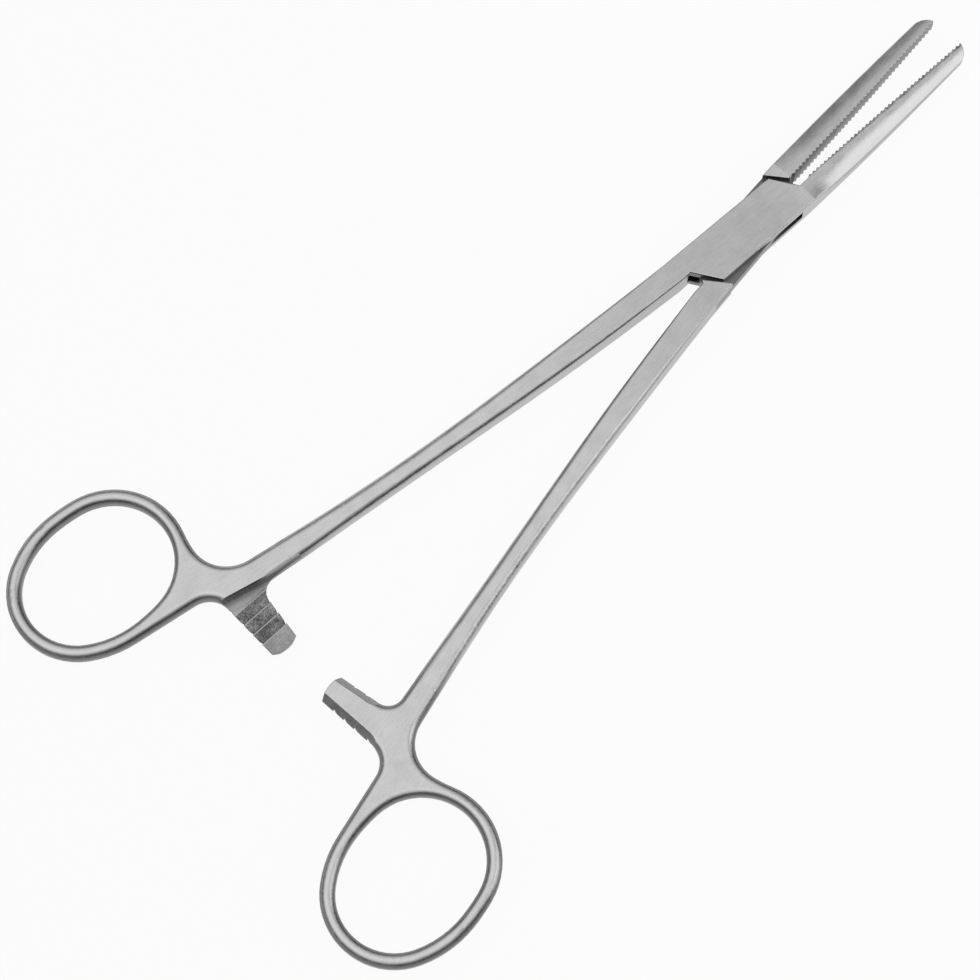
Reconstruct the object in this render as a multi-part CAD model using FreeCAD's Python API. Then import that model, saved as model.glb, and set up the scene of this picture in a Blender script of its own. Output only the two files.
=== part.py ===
import FreeCAD, Part
import math
import os

# A straight surgical clamp with a box lock, in millimetres.
# Every outline is given for one half in its own closed frame: x runs along the
# closed gripping line to the tips, y towards that half's ring, and the jaw lies
# below y = 0. The origin is the pivot, and z is measured from the mid-plane.
# The tang half is the same blank turned over, so both share one set of sizes.

V = FreeCAD.Vector

# The whole instrument
OPEN_HALF = 3.35          # each half is swung open by this many degrees
BOX_HALF = 4.4            # half width of the box at the pivot
BOX_ROUND = 0.25          # small rounding along the box's edges
BOX_THICK = 5.6           # thickness through the box lock
HEAD_THICK = 3.5          # thickness of ring, web and ratchet root

# Finger ring
RING_X, RING_Y = -129.1, 30.8
HOLE_LONG, HOLE_SHORT = 14.2, 11.3    # half axes of the finger hole
RING_TILT = -2.0          # turn of the hole's long axis, degrees
END_LEFT, END_RIGHT = 0.9, 0.98        # radii of the hole's ends as shares of HOLE_SHORT
BAND = 2.7               # width of the ring's band
BAND_ROUND = 1.35         # rounding of the band's outer edges
HOLE_ROUND = 1.25         # rounding of the hole's edges

# Shank: a shallow bow from the box to the ring
SHANK_Y = 2.85            # centre height where the shank leaves the box
SHANK_SLOPE = 0.0585      # how fast it climbs towards the ring there
SHANK_BOW = 4.83e-4       # and how much the climb grows
BOX_LEFT = -16.0          # where the shank meets the box
HEAD_RIGHT = -102.0       # where the shank meets the ring's web
STUB = 5.0                # straight stretch of the web on each side of that
JOINT_LAP, JOINT_LIP = 0.4, 0.02       # the shank's end wraps this much of the web
# Stations along the shank: share of its length from the box, width, corner radius
STATIONS = [(0.0, 4.4, 0.4), (0.2, 4.42, 0.65), (0.45, 4.05, 1.05), (0.7, 3.75, 1.3),
            (0.88, 4.25, BAND_ROUND), (1.0, 4.8, BAND_ROUND)]
# Neck: a long and a tight hollow lead from the ring to the shank's upper edge
NECK_LEAVE = -16.0        # where it leaves the ring, degrees round the oval
NECK_LONG, NECK_TIGHT = 22.0, 7.1

# Ratchet arm
ARM_TIP_LEFT, ARM_TIP_RIGHT = (-116.1, -0.62), (-110.75, -0.88)
ARM_TIP = (-113.4, -1.3)
ARM_ROOT_LEFT, ARM_ROOT_RIGHT = (-116.3, 10.3), (-109.95, 7.3)     # on the arm's two sides
ARM_FLARE = 4.5           # hollow between the web's lower edge and the arm
ARM_NOOK = 2.9            # hollow between the arm and the shank
ARM_BEVEL = 1.25          # flat bevels along both sides of the arm's plain face
BEVEL_FADE = 1.6          # they run out this far short of the web
WEB_LEAVE = 263.0         # where the web's lower edge leaves the ring, degrees
CREST_GAP = 0.05          # tooth crests stay this far from the mid-plane
TOOTH_TOP = 9.1           # innermost tooth
TOOTH_PITCH = 2.4
TOOTH_COUNT = 4
TOOTH_DEPTH = 0.7
TOOTH_LAND = 0.18         # flat top of each tooth
LEAD_DROP = 0.3           # fall of the ramp at the arm's tip
RELIEF_LEFT, RELIEF_RIGHT = -122.0, -104.5        # reach of the relief over the web
RELIEF_TURN = -13.0       # the relief's border follows the shank, degrees

# Jaw
JAW_LEFT = 13.0
JAW_TIP = 55.8
CREST = 0.165             # serration crests rise this far over the gripping line
SERRATION_DEPTH = 0.38
SERRATION_PITCH = 1.0
PLAIN_END = 15.2          # the box half's jaw is plain up to here
TANG_FIRST = PLAIN_END - 1.5 * SERRATION_PITCH    # crests fall into the other's valleys
# Stations along the jaw: x, width, thickness, fall of the crowned flats towards the
# back, radius of the back's corners
JAW = [(JAW_LEFT, BOX_HALF, BOX_THICK - 0.06, 0.06, BOX_ROUND), (24.0, 4.35, 4.9, 1.35, 0.5),
       (37.0, 3.75, 3.9, 1.2, 0.5), (49.0, 3.0, 2.9, 0.95, 0.4), (JAW_TIP + 0.4, 2.5, 2.3, 0.8, 0.3)]
ROOT_RELIEF, RELIEF_END = 0.3, 36.0    # the jaws part slightly towards the box
VALLEY = CREST - SERRATION_DEPTH
NOSE = [(JAW_TIP, CREST + 0.4), (JAW_TIP - 0.55, -1.35), (JAW_TIP - 3.0, -2.75)]

# Box lock
CHEEK_TAIL = [(-13.7, 0.7), (-10.3, -BOX_HALF)]     # slanted end towards the rings
CHEEK_NOSE = [(9.7, BOX_HALF), (JAW_LEFT - 0.05, VALLEY - ROOT_RELIEF)]    # towards the jaws
TANG_THICK = 2.5
SIDE_GAP = 0.05           # running gap on each side of the tang
TAIL_WINDOW = 1.2         # play between tang and slot end, ring side
NOSE_WINDOW = 0.35        # the same at the jaw side
SHOULDER_GAP = 0.18       # between a cheek's slanted end and the tang's shoulder
PIN_RADIUS = 1.5
PIN_PLAY = 0.03           # radial play of the tang on the pin

FAR = 200.0               # longer than any piece, for cutting bodies


def at(point, z=0.0):
    return V(point[0], point[1], z)


def line(a, b):
    return Part.LineSegment(at(a), at(b)).toShape()


def arc(a, middle, b):
    return Part.Arc(at(a), at(middle), at(b)).toShape()


def chain(points):
    return [line(a, b) for a, b in zip(points, points[1:])]


def prism(edges, low, high):
    face = Part.Face(Part.Wire(edges))
    face.translate(V(0, 0, low))
    return face.extrude(V(0, 0, high - low))


def plate(points, low, high):
    return prism(chain(points + points[:1]), low, high)


def mirrored(points):
    return [(x, -y) for x, y in points]


def shifted(points, distance):
    """Move a slanted line outwards from the pivot by a distance."""
    (ax, ay), (bx, by) = points
    nx, ny = by - ay, ax - bx
    length = math.hypot(nx, ny)
    side = 1 if nx * ax + ny * ay > 0 else -1
    nx, ny = side * nx / length, side * ny / length
    return [(ax + nx * distance, ay + ny * distance),
            (bx + nx * distance, by + ny * distance)]


def stretched(points, reach):
    """Lengthen a slanted line at both ends."""
    (ax, ay), (bx, by) = points
    dx, dy = bx - ax, by - ay
    return [(ax - dx * reach, ay - dy * reach), (bx + dx * reach, by + dy * reach)]


def between(tail, nose, low, high):
    """Plate that spans from one slanted line to the other."""
    tail, nose = stretched(tail, 1.0), stretched(nose, 1.0)
    return plate([tail[0], tail[1], nose[1], nose[0]], low, high)


def half_thick(x):
    share = (BOX_LEFT - x) / (BOX_LEFT - HEAD_RIGHT)
    return (BOX_THICK - (BOX_THICK - HEAD_THICK) * share) / 2


def shank_centre(x):
    run = BOX_LEFT - x
    return SHANK_Y + SHANK_SLOPE * run + SHANK_BOW * run * run


def shank_width(x):
    share = (BOX_LEFT - x) / (BOX_LEFT - HEAD_RIGHT)
    for (s0, w0, _), (s1, w1, _) in zip(STATIONS, STATIONS[1:]):
        if share <= s1 or s1 == 1.0:
            return w0 + (w1 - w0) * (share - s0) / (s1 - s0)


def rounded_section(x, low, high, half, radius):
    """Closed section at x with four round corners."""
    bend = radius * (1 - math.sqrt(0.5))
    corners = [(low, -half, 1, 1), (low, half, 1, -1), (high, half, -1, -1), (high, -half, -1, 1)]
    legs = []
    for i, (y, z, sy, sz) in enumerate(corners):
        along_y, along_z = V(x, y + sy * radius, z), V(x, y, z + sz * radius)
        enter, leave = (along_y, along_z) if i % 2 == 0 else (along_z, along_y)
        legs.append((enter, V(x, y + sy * bend, z + sz * bend), leave))
    edges = []
    for (enter, middle, leave), following in zip(legs, legs[1:] + legs[:1]):
        edges.append(Part.Arc(enter, middle, leave).toShape())
        edges.append(Part.LineSegment(leave, following[0]).toShape())
    return Part.Wire(edges)


def edges_on(shape, test):
    """Edges whose middle point passes a test."""
    found = []
    for edge in shape.Edges:
        middle = edge.valueAt((edge.FirstParameter + edge.LastParameter) / 2)
        if test(middle, edge):
            found.append(edge)
    return found


def level(edge):
    """True for an edge that runs along an outline and not across the thickness."""
    a, b = edge.valueAt(edge.FirstParameter), edge.valueAt(edge.LastParameter)
    return abs(a.z - b.z) < 0.5 * max(abs(a.x - b.x), abs(a.y - b.y), 0.001)


def oval(grow):
    """Arcs of the ring's oval from its lower right round: centre, radius, two angles."""
    arcs = []
    for radius in (END_RIGHT * HOLE_SHORT, END_LEFT * HOLE_SHORT):
        reach = HOLE_LONG - radius
        flat = (reach ** 2 + HOLE_SHORT ** 2 - radius ** 2) / (2 * (HOLE_SHORT - radius))
        arcs.append((reach, radius, flat, math.degrees(math.atan2(flat - HOLE_SHORT, reach))))
    (right, r_right, flat_right, join_right), (left, r_left, flat_left, join_left) = arcs
    drop_right, drop_left = flat_right - HOLE_SHORT, flat_left - HOLE_SHORT
    rounds = [(right, 0, r_right, -join_right, join_right),
              (0, -drop_right, flat_right, join_right, 90),
              (0, -drop_left, flat_left, 90, 180 - join_left),
              (-left, 0, r_left, 180 - join_left, 180 + join_left),
              (0, drop_left, flat_left, 180 + join_left, 270),
              (0, drop_right, flat_right, 270, 360 - join_right)]
    tilt = math.radians(RING_TILT)
    return [(V(RING_X + x * math.cos(tilt) - y * math.sin(tilt),
               RING_Y + x * math.sin(tilt) + y * math.cos(tilt), 0), radius + grow, first, last)
            for x, y, radius, first, last in rounds]


def on_arc(centre, radius, degrees):
    angle = math.radians(degrees + RING_TILT)
    return centre + V(math.cos(angle), math.sin(angle), 0) * radius


def oval_edges(grow, start, end):
    """Edges of the oval between two angles."""
    edges = []
    for centre, radius, first, last in oval(grow):
        first, last = max(first, start), min(last, end)
        if last > first:
            points = [on_arc(centre, radius, d) for d in (first, (first + last) / 2, last)]
            edges.append(Part.Arc(*points).toShape())
    return edges


def neck(leave, direction, far, near):
    """Straight run along the shank, then the two hollows up to the ring."""
    def left(angle):
        return V(-math.sin(angle), math.cos(angle), 0)

    down = math.atan2(direction.y, direction.x)
    along = math.atan2(far[1] - near[1], far[0] - near[0])
    centre = leave + left(down) * NECK_LONG
    reach = (centre - at(near)).dot(left(along))
    turn = along - math.acos((NECK_TIGHT - reach) / (NECK_TIGHT - NECK_LONG))
    meet = centre - left(turn) * NECK_LONG
    inner = meet + left(turn) * NECK_TIGHT
    end = inner - left(along) * NECK_TIGHT
    bend = inner - left((turn + along) / 2) * NECK_TIGHT
    bow = centre - left((down + turn) / 2) * NECK_LONG
    return [Part.LineSegment(at(far), end).toShape(), Part.Arc(end, bend, meet).toShape(),
            Part.Arc(meet, bow, leave).toShape()]


def stub_edges():
    """Lower and upper edge of the web's straight end, which runs on into the shank."""
    ends = (HEAD_RIGHT - STUB, HEAD_RIGHT + STUB)
    return ([(x, shank_centre(x) - shank_width(x) / 2) for x in ends],
            [(x, shank_centre(x) + shank_width(x) / 2) for x in ends])


def height_at(x, edge):
    (ax, ay), (bx, by) = edge
    return ay + (by - ay) * (x - ax) / (bx - ax)


def crossing(first, second):
    """Point where two straight lines meet."""
    (a, b), (c, d) = [[at(p) for p in edge] for edge in (first, second)]
    along, other = b - a, d - c
    share = (c - a).cross(other).z / along.cross(other).z
    return a + along * share


def hollow(a, corner, b, radius):
    """Arc that rounds a corner between two straight runs, with its ends."""
    to_a, to_b = (at(a) - corner).normalize(), (at(b) - corner).normalize()
    half = to_a.getAngle(to_b) / 2
    start, end = (corner + way * (radius / math.tan(half)) for way in (to_a, to_b))
    middle = (to_a + to_b).normalize() * (radius / math.sin(half) - radius) + corner
    return [(start.x, start.y), (middle.x, middle.y), (end.x, end.y)]


def bevel_cutter(tip, root, out, radius, sweep):
    """Bevel along one side of the arm's plain face, following its hollow to a run-out."""
    along = (at(root) - at(tip)).normalize()
    end = at(root) - along * BEVEL_FADE
    spare = radius / 3
    face = Part.Face(Part.makePolygon([
        end + out * n + V(0, 0, z - HEAD_THICK / 2)
        for n, z in ((-ARM_BEVEL - spare, -spare), (spare, ARM_BEVEL + spare), (spare, -spare),
                     (-ARM_BEVEL - spare, -spare))]))
    straight = face.extrude(along * -(at(root) - at(tip)).Length * 2)
    return straight.fuse(face.revolve(end + out * radius, V(0, 0, 1), sweep))


def make_head():
    """Ring, web and ratchet arm in one outline, rounded along their edges."""
    low, top = stub_edges()
    ring = oval_edges(BAND, NECK_LEAVE, WEB_LEAVE)
    leave, web = ring[0].valueAt(ring[0].FirstParameter), ring[-1].valueAt(ring[-1].LastParameter)
    down = ring[0].tangentAt(ring[0].FirstParameter) * -1
    web_way = ring[-1].tangentAt(ring[-1].LastParameter)
    web, web_on = (web.x, web.y), (web.x + web_way.x, web.y + web_way.y)
    left, right = (ARM_ROOT_LEFT, ARM_TIP_LEFT), (ARM_TIP_RIGHT, ARM_ROOT_RIGHT)
    flare = hollow(web, crossing((web, web_on), left), ARM_TIP_LEFT, ARM_FLARE)
    nook = hollow(ARM_TIP_RIGHT, crossing(right, low), low[1], ARM_NOOK)
    edges = [*ring, line(web, flare[0]), arc(*flare), line(flare[2], ARM_TIP_LEFT),
             arc(ARM_TIP_LEFT, ARM_TIP, ARM_TIP_RIGHT), line(ARM_TIP_RIGHT, nook[0]), arc(*nook),
             line(nook[2], low[1]), line(low[1], top[1]), *neck(leave, down, top[1], top[0])]
    body = prism(edges, -HEAD_THICK / 2, HEAD_THICK / 2)
    body = body.cut(prism(oval_edges(0.0, -90, 360), -HEAD_THICK, HEAD_THICK))

    def in_hole(p, grow):
        return math.hypot((p.x - RING_X) / (HOLE_LONG + grow),
                          (p.y - RING_Y) / (HOLE_SHORT + grow)) < 1.0

    rim = edges_on(body, lambda p, e: level(e) and in_hole(p, BAND / 2))
    body = body.makeFillet(HOLE_ROUND, rim)

    def outside(p, e):
        flat = abs(abs(p.z) - HEAD_THICK / 2) < 0.01
        free_end = p.y < ARM_TIP[1] + 0.1 or p.x > low[1][0] - 0.1
        return flat and not in_hole(p, 0.75 * BAND) and not free_end

    body = body.makeFillet(BAND_ROUND, edges_on(body, outside))
    to_left = V(0, 0, 1).cross(at(flare[2]) - at(ARM_TIP_LEFT)).normalize()
    to_right = V(0, 0, 1).cross(at(ARM_TIP_RIGHT) - at(nook[0])).normalize()
    body = body.cut(bevel_cutter(ARM_TIP_LEFT, flare[2], to_left, ARM_FLARE, 80))
    body = body.cut(bevel_cutter(ARM_TIP_RIGHT, nook[0], to_right, ARM_NOOK, -80))
    keep = Part.makeBox(FAR, FAR, 4 * BOX_THICK, V(HEAD_RIGHT - FAR, -FAR / 2, -2 * BOX_THICK))
    return body.common(keep)


def ratchet_cutter():
    """Relief over the arm, its run-out, and the teeth."""
    floor, deep = -CREST_GAP, -CREST_GAP - TOOTH_DEPTH
    lowest = TOOTH_TOP - TOOTH_PITCH * (TOOTH_COUNT - 1)
    tip = ARM_TIP[1] - 1
    profile = [(tip, floor - LEAD_DROP), (lowest, floor)]
    for i in range(TOOTH_COUNT - 1):
        y = lowest + i * TOOTH_PITCH
        profile += [(y, deep), (y + TOOTH_PITCH - TOOTH_LAND, floor), (y + TOOTH_PITCH, floor)]
    profile += [(TOOTH_TOP, BOX_THICK), (tip, BOX_THICK)]
    teeth = Part.Face(Part.makePolygon([V(-125, y, z) for y, z in profile + profile[:1]]))
    teeth = teeth.extrude(V(20, 0, 0))
    radius = HEAD_THICK / 2 - deep
    bend = radius * (1 - math.sqrt(0.5))
    start = V(0, 0, deep)
    run_out = Part.Wire([
        Part.Arc(start, V(0, radius - bend, deep + bend), V(0, radius, deep + radius)).toShape(),
        Part.makePolygon([V(0, radius, deep + radius), V(0, radius, BOX_THICK),
                          V(0, -1, BOX_THICK), V(0, -1, floor), V(0, 0, floor), start])])
    run_out = Part.Face(run_out).extrude(V(RELIEF_RIGHT - RELIEF_LEFT, 0, 0))
    run_out.translate(V(RELIEF_LEFT - ARM_TIP[0], 0, 0))
    run_out.rotate(V(0, 0, 0), V(0, 0, 1), RELIEF_TURN)
    run_out.translate(V(ARM_TIP[0], TOOTH_TOP, 0))
    beyond = Part.makeBox(40, 40, 4 * BOX_THICK, V(-135, TOOTH_TOP, -2 * BOX_THICK))
    return teeth.fuse(run_out.common(beyond))


def end_wire(body, x):
    """Outline of the body's flat end at x."""
    for face in body.Faces:
        if all(abs(v.X - x) < 1e-4 for v in face.Vertexes):
            return face.OuterWire


def make_shank(block):
    """Body that runs from the box's end face to the web and wraps the web's end."""
    sections = [end_wire(block, BOX_LEFT)]
    for share, width, radius in STATIONS[1:-1]:
        x = BOX_LEFT + (HEAD_RIGHT - BOX_LEFT) * share
        y = shank_centre(x)
        sections.append(rounded_section(x, y - width / 2, y + width / 2, half_thick(x), radius))
    x = HEAD_RIGHT - JOINT_LAP
    low, top = (height_at(x, edge) for edge in stub_edges())
    sections.append(rounded_section(x, low - JOINT_LIP, top + JOINT_LIP,
                                    HEAD_THICK / 2 + JOINT_LIP, BAND_ROUND))
    return Part.makeLoft(sections, True, False)


def make_block():
    width = shank_width(BOX_LEFT)
    outline = [(BOX_LEFT, SHANK_Y + width / 2), *CHEEK_NOSE, (JAW_LEFT, CHEEK_NOSE[1][1]),
               (JAW_LEFT, -BOX_HALF), CHEEK_TAIL[1], CHEEK_TAIL[0],
               (BOX_LEFT, SHANK_Y - width / 2)]
    body = plate(outline, -BOX_THICK / 2, BOX_THICK / 2)
    rim = edges_on(body, lambda p, e: level(e) and BOX_LEFT + 0.01 < p.x < CHEEK_NOSE[1][0])
    return body.makeFillet(BOX_ROUND, rim)


def crowned_section(x, width, half, fall, corner):
    """Half-round section of a jaw: flat gripping side, crowned flats, upright back."""
    reach = width + CREST
    radius = (reach ** 2 + fall ** 2) / (2 * fall)
    hub = V(x, CREST, half - radius)
    rise = math.sqrt((radius - corner) ** 2 - (reach - corner) ** 2)
    inner = V(x, corner - width, hub.z + rise)
    lean = math.atan2(reach - corner, rise)

    def point(centre, size, angle):
        return centre + V(0, -math.sin(angle), math.cos(angle)) * size

    upper = [(point(hub, radius, 0), point(hub, radius, lean / 2), point(hub, radius, lean)),
             (point(hub, radius, lean), point(inner, corner, (lean + math.pi / 2) / 2),
              point(inner, corner, math.pi / 2))]
    lower = [[V(p.x, p.y, -p.z) for p in reversed(arc_points)] for arc_points in reversed(upper)]
    edges = [Part.Arc(*arc_points).toShape() for arc_points in upper]
    edges.append(Part.LineSegment(upper[1][2], lower[0][0]).toShape())
    edges += [Part.Arc(*arc_points).toShape() for arc_points in lower]
    edges.append(Part.LineSegment(lower[1][2], upper[0][0]).toShape())
    return Part.Wire(edges)


def make_jaw(first_tooth):
    sections = [crowned_section(x, width, thick / 2, fall, corner)
                for x, width, thick, fall, corner in JAW]
    body = Part.makeLoft(sections, True, False)
    tip, bulge, back = NOSE
    edges = [arc(tip, bulge, back), *chain([back, (40, -8), (0, -8), (0, tip[1]), tip])]
    body = body.common(prism(edges, -BOX_THICK, BOX_THICK))

    def grip(x, height):
        return (x, height - ROOT_RELIEF * max(0.0, (RELIEF_END - x) / (RELIEF_END - JAW_LEFT)))

    zigzag = [(JAW_LEFT - 1, 1), (JAW_LEFT - 1, VALLEY - ROOT_RELIEF), grip(JAW_LEFT, VALLEY)]
    x = first_tooth
    while x < JAW_TIP + 1:
        zigzag += [grip(x, VALLEY), grip(x + SERRATION_PITCH / 2, CREST)]
        x += SERRATION_PITCH
    zigzag.append((x, 1))
    return body.cut(plate(zigzag, -BOX_THICK, BOX_THICK))


def make_blank(first_tooth):
    block = make_block()
    blank = make_shank(block)
    for piece in (make_head(), block, make_jaw(first_tooth)):
        blank = blank.fuse(piece)
    return blank.removeSplitter()


def seated(shape, turn):
    """Swing a half open and lift it onto its underside."""
    shape = shape.copy()
    shape.rotate(V(0, 0, 0), V(0, 0, 1), turn)
    shape.translate(V(0, 0, BOX_THICK / 2))
    return shape


def make_box_half():
    body = make_blank(PLAIN_END).cut(ratchet_cutter())
    slot = TANG_THICK / 2 + SIDE_GAP
    body = body.cut(between(shifted(mirrored(CHEEK_TAIL), TAIL_WINDOW),
                            shifted(mirrored(CHEEK_NOSE), NOSE_WINDOW), -slot, slot))
    bore = Part.makeCylinder(PIN_RADIUS, 2 * BOX_THICK, V(0, 0, -BOX_THICK))
    return seated(body.cut(bore), -OPEN_HALF)


def make_tang_half():
    body = make_blank(TANG_FIRST).cut(ratchet_cutter())
    tail = shifted(mirrored(CHEEK_TAIL), SHOULDER_GAP)
    nose = shifted(mirrored(CHEEK_NOSE), SHOULDER_GAP)
    for low, high in ((TANG_THICK / 2, BOX_THICK), (-BOX_THICK, -TANG_THICK / 2)):
        body = body.cut(between(tail, nose, low, high))
    bore = Part.makeCylinder(PIN_RADIUS + PIN_PLAY, 2 * BOX_THICK, V(0, 0, -BOX_THICK))
    body = body.cut(bore)
    body.rotate(V(0, 0, 0), V(1, 0, 0), 180)
    return seated(body, OPEN_HALF)


def make_pin():
    return Part.makeCylinder(PIN_RADIUS, BOX_THICK)


os.makedirs("parts", exist_ok=True)
for name, make in (("box_half", make_box_half), ("tang_half", make_tang_half),
                   ("pivot_pin", make_pin)):
    shape = make()
    solids = len(shape.Solids)
    print(name, shape.isValid(), solids, round(shape.Volume, 1), shape.BoundBox)
    if solids != 1 or not shape.isValid():
        raise RuntimeError(name + " is not one valid solid")
    shape.exportStep("parts/" + name + ".step")
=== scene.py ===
import math
import bmesh
import bpy
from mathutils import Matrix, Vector

# Looks for a straight surgical clamp of satin stainless steel, in metres.
# The CAD nodes carry every shape; this file gives them their finish, the light
# and the camera. The pin stands at the origin and the jaws point along +X. The box
# half's ring lies on the +Y side and its ratchet teeth face up. The tang half is the
# same turned over, so a side of -1 there changes the signs of Y and Z.

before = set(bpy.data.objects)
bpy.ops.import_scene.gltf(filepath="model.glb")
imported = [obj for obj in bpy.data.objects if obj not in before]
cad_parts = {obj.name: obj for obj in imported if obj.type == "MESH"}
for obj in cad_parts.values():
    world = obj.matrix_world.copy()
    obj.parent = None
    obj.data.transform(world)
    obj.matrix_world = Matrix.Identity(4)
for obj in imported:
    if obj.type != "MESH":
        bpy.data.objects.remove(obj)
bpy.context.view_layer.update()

# Where the camera stood, found from the outline of the instrument in the photograph
CAMERA_PLACE = Vector((-0.18413, -0.11180, 0.49140))
CAMERA_AIM = Vector((-0.06795, -0.00037, 0.00280))
CAMERA_LENS = 106.6
SENSOR_WIDTH = 36.0

MIDDLE = 0.0028                  # height of the instrument's mid-plane
HALF_TURN = math.radians(9.5)    # how far each half's length lies off the X axis
OPEN_TURN = math.radians(3.35)   # and how far each jaw does

# The rings and the ratchet arms
RING_SLOPES = (-0.112, -0.104)             # the painted shade on the rings' slopes fades out here along X
RING_WALLS = (-0.105, -0.092)              # and here the painted shade on side walls fades to the shanks' share
SHANK_WALL_SHADE = 0.3                          # how much painted shade those get
SLOPE_SHARE = 0.5
WALL_TILT = (0.55, 0.9)                    # upward parts of the normals from full painted shade to none
SLOPE_TILT = (0.72, 0.97)
ARM_END = -0.1                             # the ratchet arm lies beyond this X
ARM_ROOT = 0.0195                          # and nearer to the X axis than this
RATCHET_TOP = 0.0016                       # its milled face is lower, from the mid-plane
RATCHET_TILT = 0.25                        # and faces up by more than this
LAND_DROP = 0.00007                        # the teeth's lands lie this near to the mid-plane
TEETH_START, TEETH_END = 0.0019, 0.0091    # reach of the teeth along the arm
LAND_HIGHLIGHT, TIP_HIGHLIGHT = 0.9, 0.5             # how much of the milled face's darkness painted highlight lifts on the lands and the tip
RUN_OUT_MATT = 0.75

# The lock and the jaws
BOX_START = (-0.05, -0.02)    # the painted shade on the box's flats fades in here along X
BOX_END = 0.004               # and out from here to the jaw's root
LOCK_REACH = 0.0145
TANG_REACH = 0.0014           # from the mid-plane to just inside a cheek
PIN_CLEAR = 0.0021            # no softened edges nearer to the pin's axis than this
JAW_ROOT = 0.013
ROOT_CLEAR = 0.0006           # nor this near to the jaw's root
SERRATION_START = 0.0135
SERRATION_DEPTH = 0.0009
CREST_DEPTH = 0.0005
FLANK_TILT = 0.3              # flanks face up by less than this, crests by more
FLANK_SHADE = 0.2             # painted shade on a flank that faces the box
TIP_FLANK_SHADE = 0.75        # and how much more painted shade goes on one that faces the tips

EDGE = 0.00022                # how far the wheel has rounded sharp edges
BRUSHED_BUMP, PIN_BUMP = 0.000009, 0.000008
BRUSHED_ROUGH, PIN_ROUGH = (0.27, 0.37), (0.26, 0.36)
MILLED_ROUGH = 0.3                             # added where the steel is milled
BRUSHED_STRETCH, MILLED_STRETCH = 0.08, 0.3    # grain's scale along its streaks

# The three darker greys after STEEL are painted shade: on walls, slopes and the lock, on the
# box's flats, and in the ratchet face and serrations, the last partly the milled finish too.
STEEL, BOX_SHADE_STEEL, PAINTED_SHADE_STEEL, MILLED_AND_SHADE_STEEL = 0.60, 0.53, 0.18, 0.36
STEEL_SPREAD, PAINTED_SHADE_SPREAD, MILLED_SPREAD = 0.22, 0.3, 1.3
PAPER = (0.95, 0.95, 0.95, 1.0)
FLOOR_REACH = 6.0
FLOOR_GLOW = 0.93             # the floor's own white, which leaves room for the shadow

# The studio's light tent: dim near the horizon, bright overhead, and brighter towards
# the rings and towards the side of the box half's ring
SKY_DIM, SKY_BRIGHT = 0.45, 0.97    # sines of the heights where the change starts and ends
HORIZON, ZENITH = 0.17, 1.17
SKY_LEAN = (-0.5, 0.55)

# Numbers of the mix node's first and second input and its output, for values and colours
MIX_SOCKETS = {"FLOAT": (2, 3, 0), "RGBA": (6, 7, 2)}


def feed(tree, value, socket):
    """Link an output to the socket, or set a plain value on it."""
    if isinstance(value, bpy.types.NodeSocket):
        tree.links.new(value, socket)
    else:
        socket.default_value = value


def node(tree, kind, **settings):
    """Add a node; settings are its properties."""
    made = tree.nodes.new(kind)
    for name, value in settings.items():
        setattr(made, name, value)
    return made


def maths(tree, operation, *values, clamp=False):
    """Add a math node on one or two values or outputs and return its output."""
    made = node(tree, "ShaderNodeMath", operation=operation, use_clamp=clamp)
    for value, socket in zip(values, made.inputs):
        feed(tree, value, socket)
    return made.outputs[0]


def product(tree, first, *others):
    for other in others:
        first = maths(tree, "MULTIPLY", first, other)
    return first


def over(tree, value, limit):
    return maths(tree, "GREATER_THAN", value, limit)


def under(tree, value, limit):
    return maths(tree, "LESS_THAN", value, limit)


def ranged(tree, value, start, end, at_start, at_end):
    """Map a value smoothly from one range to another."""
    made = node(tree, "ShaderNodeMapRange", interpolation_type="SMOOTHSTEP")
    feed(tree, value, made.inputs["Value"])
    for name, number in (("From Min", start), ("From Max", end),
                         ("To Min", at_start), ("To Max", at_end)):
        made.inputs[name].default_value = number
    return made.outputs["Result"]


def mixed(tree, kind, mask, first, second):
    """Mix two values (FLOAT) or two colours (RGBA) by a mask."""
    first_number, second_number, result = MIX_SOCKETS[kind]
    made = node(tree, "ShaderNodeMix", data_type=kind)
    feed(tree, mask, made.inputs["Factor"])
    feed(tree, first, made.inputs[first_number])
    feed(tree, second, made.inputs[second_number])
    return made.outputs[result]


def parts(tree, vector):
    """The X, Y and Z outputs of a vector."""
    split = node(tree, "ShaderNodeSeparateXYZ")
    feed(tree, vector, split.inputs["Vector"])
    return split.outputs


def noise(tree, coordinates, scale, detail, roughness):
    made = node(tree, "ShaderNodeTexNoise")
    feed(tree, coordinates, made.inputs["Vector"])
    made.inputs["Scale"].default_value = scale
    made.inputs["Detail"].default_value = detail
    made.inputs["Roughness"].default_value = roughness
    return made.outputs["Fac"]


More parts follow.
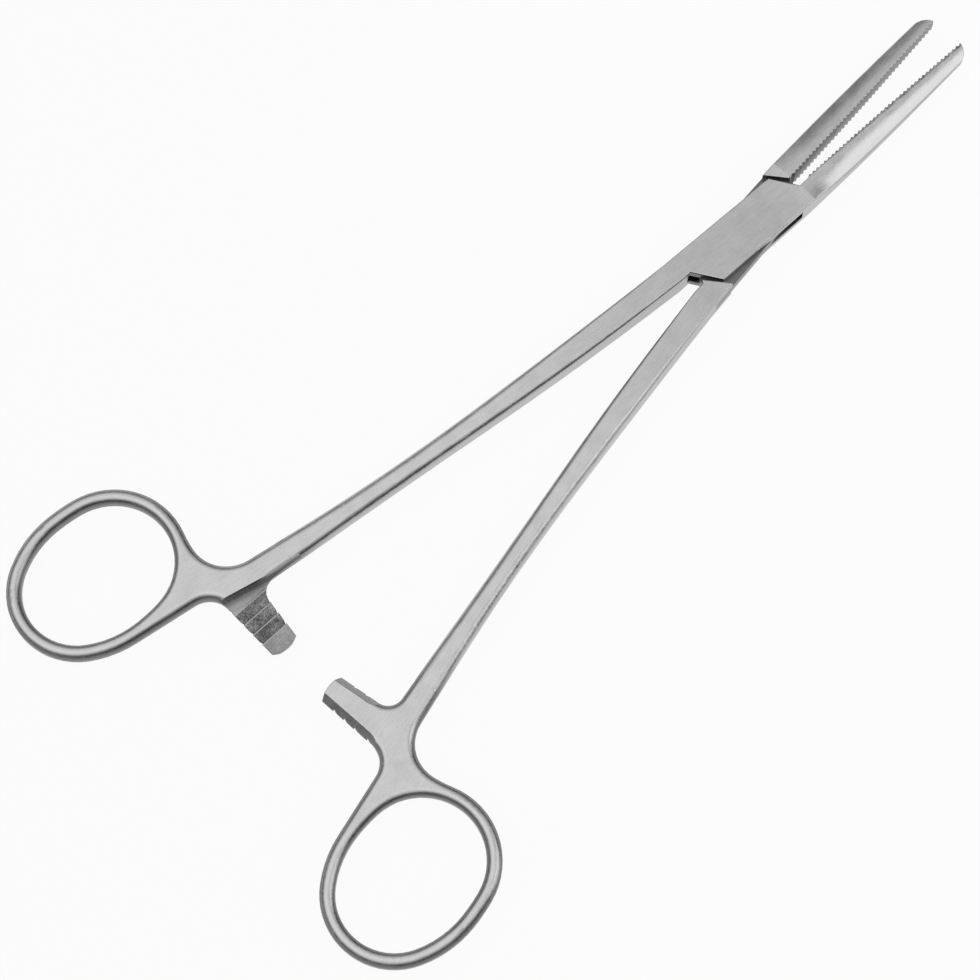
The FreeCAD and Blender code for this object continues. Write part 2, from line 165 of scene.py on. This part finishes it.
def satin_grain_group():
    """Fine brushed grain with soft clouds: a height for bump and a tone for colour."""
    tree = bpy.data.node_groups.new("satin_grain", "ShaderNodeTree")
    for name, way, kind in (("Coordinates", "INPUT", "NodeSocketVector"),
                            ("Turn", "INPUT", "NodeSocketFloat"),
                            ("Stretch", "INPUT", "NodeSocketFloat"),
                            ("Height", "OUTPUT", "NodeSocketFloat"),
                            ("Tone", "OUTPUT", "NodeSocketFloat")):
        tree.interface.new_socket(name, in_out=way, socket_type=kind)
    given = node(tree, "NodeGroupInput").outputs
    result = node(tree, "NodeGroupOutput").inputs

    turned = node(tree, "ShaderNodeVectorRotate", rotation_type="Z_AXIS")
    feed(tree, given["Coordinates"], turned.inputs["Vector"])
    feed(tree, given["Turn"], turned.inputs["Angle"])
    squeeze = node(tree, "ShaderNodeCombineXYZ")
    feed(tree, given["Stretch"], squeeze.inputs["X"])
    squeeze.inputs["Y"].default_value = 1.0
    squeeze.inputs["Z"].default_value = 1.0
    streaked = node(tree, "ShaderNodeVectorMath", operation="MULTIPLY")
    feed(tree, turned.outputs["Vector"], streaked.inputs[0])
    feed(tree, squeeze.outputs["Vector"], streaked.inputs[1])

    streaks = noise(tree, streaked.outputs["Vector"], scale=4200.0, detail=3.0, roughness=0.6)
    specks = noise(tree, turned.outputs["Vector"], scale=3800.0, detail=2.0, roughness=0.6)
    clouds = noise(tree, turned.outputs["Vector"], scale=260.0, detail=3.0, roughness=0.55)
    fine = maths(tree, "ADD", product(tree, streaks, 0.6), product(tree, specks, 0.4))
    feed(tree, fine, result["Height"])
    tone = maths(tree, "ADD", product(tree, fine, 0.65), product(tree, clouds, 0.35))
    feed(tree, ranged(tree, tone, 0.36, 0.64, 0.0, 1.0), result["Tone"])
    return tree


def grain(tree, group, coordinates, turn, stretch):
    """Place the grain group and return its height and its tone."""
    made = node(tree, "ShaderNodeGroup", node_tree=group)
    feed(tree, coordinates, made.inputs["Coordinates"])
    made.inputs["Turn"].default_value = turn
    made.inputs["Stretch"].default_value = stretch
    return made.outputs["Height"], made.outputs["Tone"]


def shaded(tree, grey, tone, spread):
    """A grey that the tone makes darker or lighter by up to half the spread."""
    darker, lighter = grey * (1 - spread / 2), grey * (1 + spread / 2)
    return mixed(tree, "RGBA", tone, (darker, darker, darker, 1.0),
                 (lighter, lighter, lighter, 1.0))


def steel_surface(name):
    """A metal material, its tree, its shader and its texture coordinates."""
    material = bpy.data.materials.new(name)
    material.use_nodes = True
    tree = material.node_tree
    shader = tree.nodes["Principled BSDF"]
    shader.inputs["Metallic"].default_value = 1.0
    return material, tree, shader, node(tree, "ShaderNodeTexCoord").outputs


def bumped(tree, shader, height, distance):
    """Give the shader a bump and return its node."""
    made = node(tree, "ShaderNodeBump")
    made.inputs["Distance"].default_value = distance
    feed(tree, height, made.inputs["Height"])
    feed(tree, made.outputs["Normal"], shader.inputs["Normal"])
    return made


def beside_jaw(tree, spot, side):
    """Distance from the plane of the half's gripping face, positive on its ring's side."""
    return maths(tree, "ADD", product(tree, spot["X"], math.sin(OPEN_TURN)),
                 product(tree, spot["Y"], side * math.cos(OPEN_TURN)))


def ratchet_masks(tree, spot, facing, side):
    """The ratchet arm's milled face; how dark it is painted, partly for the milled finish and
    partly as painted shade of the sunk face, lifted by painted highlight on the tooth lands,
    the tip and the run-out; and its matt run-out into the arm.
    """
    beside = beside_jaw(tree, spot, side)
    height = product(tree, maths(tree, "SUBTRACT", spot["Z"], MIDDLE), side)
    face = product(tree, under(tree, height, RATCHET_TOP),
                   over(tree, product(tree, facing["Z"], side), RATCHET_TILT),
                   under(tree, product(tree, spot["Y"], side), ARM_ROOT),
                   under(tree, spot["X"], ARM_END))
    land = over(tree, height, -LAND_DROP)
    tip = under(tree, beside, TEETH_START)
    run_out = over(tree, beside, TEETH_END)
    painted_highlight = maths(tree, "MAXIMUM", product(tree, land, LAND_HIGHLIGHT),
                 maths(tree, "ADD", product(tree, tip, TIP_HIGHLIGHT), run_out))
    dark = product(tree, face, maths(tree, "SUBTRACT", 1.0, painted_highlight))
    return face, dark, product(tree, face, run_out)


def serration_masks(tree, spot, facing, side):
    """The flanks of the jaw's serrations, and the painted shade on flanks and crests: in the
    grooves, and more on flanks turned to the tips.
    """
    beside = beside_jaw(tree, spot, side)
    jaw = over(tree, spot["X"], SERRATION_START)
    level = maths(tree, "ABSOLUTE", facing["Z"])
    flanks = product(tree, jaw, under(tree, level, FLANK_TILT),
                     over(tree, beside, -SERRATION_DEPTH))
    to_tips = product(tree, over(tree, facing["X"], 0.0), TIP_FLANK_SHADE)
    dark = product(tree, flanks, maths(tree, "ADD", to_tips, FLANK_SHADE))
    if side > 0:
        crests = product(tree, jaw, over(tree, facing["Z"], FLANK_TILT),
                         over(tree, beside, -CREST_DEPTH))
        dark = maths(tree, "MAXIMUM", dark, crests)
    return flanks, dark


def painted_shade_mask(tree, spot, facing, side):
    """Painted shade where the steel turns away from the light or lies between the parts: steep
    walls, ring slopes, inside the lock.
    """
    level = maths(tree, "ABSOLUTE", facing["Z"])
    walls = product(tree, ranged(tree, level, *WALL_TILT, 1.0, 0.0),
                    ranged(tree, spot["X"], *RING_WALLS, 1.0, SHANK_WALL_SHADE))
    slopes = product(tree, ranged(tree, level, *SLOPE_TILT, 1.0, 0.0),
                     ranged(tree, spot["X"], *RING_SLOPES, SLOPE_SHARE, 0.0))
    lock = under(tree, maths(tree, "ABSOLUTE", spot["X"]), LOCK_REACH)
    shoulders = over(tree, maths(tree, "ABSOLUTE", facing["X"]), 0.5)
    off_middle = maths(tree, "ABSOLUTE", maths(tree, "SUBTRACT", spot["Z"], MIDDLE))
    between = under(tree, off_middle, TANG_REACH)
    if side > 0:
        between = product(tree, between, over(tree, level, 0.5))
    inside = product(tree, lock, maths(tree, "MAXIMUM", shoulders, between))
    return maths(tree, "MAXIMUM", maths(tree, "MAXIMUM", walls, slopes), inside)


def box_shade_mask(tree, spot):
    """Painted shade on the flats around the box, a little darker than the rest."""
    return product(tree, ranged(tree, spot["X"], *BOX_START, 0.0, 1.0),
                   ranged(tree, spot["X"], BOX_END, JAW_ROOT, 1.0, 0.0))


def softened(tree, spot):
    """Normals over edges that the wheel has rounded; none where the ground faces blend."""
    off_pin = maths(tree, "ADD", maths(tree, "POWER", spot["X"], 2.0),
                    maths(tree, "POWER", spot["Y"], 2.0))
    off_root = maths(tree, "ABSOLUTE", maths(tree, "SUBTRACT", spot["X"], JAW_ROOT))
    soft = node(tree, "ShaderNodeBevel", samples=6)
    feed(tree, product(tree, over(tree, off_pin, PIN_CLEAR ** 2),
                       over(tree, off_root, ROOT_CLEAR), EDGE),
         soft.inputs["Radius"])
    return soft.outputs["Normal"]


def half_steel(name, group, side):
    """Satin finish along the half's length, with painted shade on steep walls, ring slopes,
    the lock and the box's flats, and a milled face where it is cut, darker partly for the
    milling and partly as painted shade.
    """
    material, tree, shader, own = steel_surface(name)
    brushed, tone = grain(tree, group, own["Object"], side * HALF_TURN, BRUSHED_STRETCH)
    cut, cut_tone = grain(tree, group, own["Object"], math.pi / 2 + side * HALF_TURN,
                          MILLED_STRETCH)
    spot, facing = parts(tree, own["Object"]), parts(tree, own["Normal"])
    ratchet, ratchet_dark, run_out = ratchet_masks(tree, spot, facing, side)
    serrations, serrations_dark = serration_masks(tree, spot, facing, side)
    milled = maths(tree, "ADD", ratchet, serrations, clamp=True)
    dark = maths(tree, "ADD", ratchet_dark, serrations_dark, clamp=True)

    colour = shaded(tree, STEEL, tone, STEEL_SPREAD)
    # Painted shade over the satin: the box's flats, steep walls, ring slopes and the lock,
    # then the ratchet face and serrations, partly a milled finish.
    for mask, grey, shade, spread in (
            (box_shade_mask(tree, spot), BOX_SHADE_STEEL, tone, STEEL_SPREAD),
            (painted_shade_mask(tree, spot, facing, side), PAINTED_SHADE_STEEL, tone, PAINTED_SHADE_SPREAD),
            (dark, MILLED_AND_SHADE_STEEL, cut_tone, MILLED_SPREAD)):
        colour = mixed(tree, "RGBA", mask, colour, shaded(tree, grey, shade, spread))
    feed(tree, colour, shader.inputs["Base Color"])

    gloss = maths(tree, "SUBTRACT", 1.0, product(tree, run_out, RUN_OUT_MATT))
    feed(tree, gloss, shader.inputs["Metallic"])
    rough = maths(tree, "ADD", ranged(tree, tone, 0.0, 1.0, *BRUSHED_ROUGH),
                  product(tree, milled, MILLED_ROUGH))
    feed(tree, rough, shader.inputs["Roughness"])
    bump = bumped(tree, shader, mixed(tree, "FLOAT", milled, brushed, cut), BRUSHED_BUMP)
    feed(tree, softened(tree, spot), bump.inputs["Normal"])
    return material


def pin_steel(group):
    """Pin end, ground flush with the box and hardly visible in it."""
    material, tree, shader, own = steel_surface("pin_steel")
    brushed, tone = grain(tree, group, own["Object"], HALF_TURN, BRUSHED_STRETCH)
    # The pin takes the same painted shade as the box's flats.
    feed(tree, shaded(tree, BOX_SHADE_STEEL, tone, STEEL_SPREAD), shader.inputs["Base Color"])
    feed(tree, ranged(tree, tone, 0.0, 1.0, *PIN_ROUGH), shader.inputs["Roughness"])
    bumped(tree, shader, brushed, PIN_BUMP)
    return material


def dress(piece, material):
    """Put the material on every slot of a CAD node."""
    for place in piece.material_slots:
        place.material = material
    if not piece.material_slots:
        piece.data.materials.append(material)


def seen(tree):
    """1 for rays that should meet the white background, straight or mirrored."""
    path = node(tree, "ShaderNodeLightPath").outputs
    direct = maths(tree, "ADD", path["Is Camera Ray"], path["Is Glossy Ray"])
    return maths(tree, "ADD", direct, path["Is Transmission Ray"], clamp=True)


def make_floor():
    """Wide white floor that keeps a faint shadow under the instrument."""
    mesh = bpy.data.meshes.new("floor")
    shape = bmesh.new()
    bmesh.ops.create_grid(shape, x_segments=1, y_segments=1, size=FLOOR_REACH)
    shape.to_mesh(mesh)
    shape.free()
    floor = bpy.data.objects.new("floor", mesh)
    bpy.context.collection.objects.link(floor)

    material = bpy.data.materials.new("white_floor")
    material.use_nodes = True
    tree = material.node_tree
    tree.nodes.remove(tree.nodes["Principled BSDF"])
    paper = node(tree, "ShaderNodeBsdfDiffuse")
    paper.inputs["Color"].default_value = PAPER
    glow = node(tree, "ShaderNodeEmission")
    both = node(tree, "ShaderNodeMixShader")
    feed(tree, product(tree, seen(tree), FLOOR_GLOW), both.inputs[0])
    feed(tree, paper.outputs[0], both.inputs[1])
    feed(tree, glow.outputs[0], both.inputs[2])
    feed(tree, both.outputs[0], tree.nodes["Material Output"].inputs["Surface"])
    mesh.materials.append(material)


def make_world():
    """Soft light from above that falls off to a dim horizon."""
    world = bpy.data.worlds.new("studio")
    world.use_nodes = True
    bpy.context.scene.world = world
    tree = world.node_tree
    tree.nodes.clear()
    way = parts(tree, node(tree, "ShaderNodeTexCoord").outputs["Generated"])
    height = ranged(tree, way["Z"], SKY_DIM, SKY_BRIGHT, HORIZON, ZENITH)
    lean = 1.0
    for name, share in zip("XY", SKY_LEAN):
        lean = maths(tree, "ADD", lean, product(tree, way[name], share))
    glow = node(tree, "ShaderNodeBackground")
    feed(tree, product(tree, height, lean), glow.inputs["Strength"])
    feed(tree, glow.outputs[0], node(tree, "ShaderNodeOutputWorld").inputs["Surface"])


def soft_lamp(name, place, aim, size, power):
    data = bpy.data.lights.new(name, "AREA")
    data.size = size
    data.energy = power
    lamp = bpy.data.objects.new(name, data)
    lamp.location = place
    lamp.rotation_mode = "QUATERNION"
    lamp.rotation_quaternion = (Vector(aim) - Vector(place)).to_track_quat("-Z", "Y")
    bpy.context.collection.objects.link(lamp)


def make_camera():
    data = bpy.data.cameras.new("camera")
    data.sensor_width = SENSOR_WIDTH
    data.lens = CAMERA_LENS
    data.clip_start, data.clip_end = 0.01, 20.0
    camera = bpy.data.objects.new("camera", data)
    camera.location = CAMERA_PLACE
    camera.rotation_mode = "QUATERNION"
    camera.rotation_quaternion = (CAMERA_AIM - CAMERA_PLACE).to_track_quat("-Z", "Y")
    bpy.context.collection.objects.link(camera)
    bpy.context.scene.camera = camera


satin_grain = satin_grain_group()
dress(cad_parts["box_half"], half_steel("box_half_steel", satin_grain, 1.0))
dress(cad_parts["tang_half"], half_steel("tang_half_steel", satin_grain, -1.0))
dress(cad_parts["pivot_pin"], pin_steel(satin_grain))

make_floor()
make_world()
soft_lamp("overhead", (-0.07, -0.2, 1.2), CAMERA_AIM, size=0.6, power=0.3)
soft_lamp("far_side", (0.27, 0.40, 0.30), (0.035, 0.01, MIDDLE), size=0.5, power=0.08)
soft_lamp("low_side", (0.36, -0.55, 0.17), (0.02, 0.0, MIDDLE), size=0.3, power=0.3)
soft_lamp("jaw_side", (0.30, -0.36, 0.44), (0.035, -0.01, MIDDLE), size=0.4, power=0.6)
make_camera()
bpy.context.scene.view_settings.view_transform = "Standard"
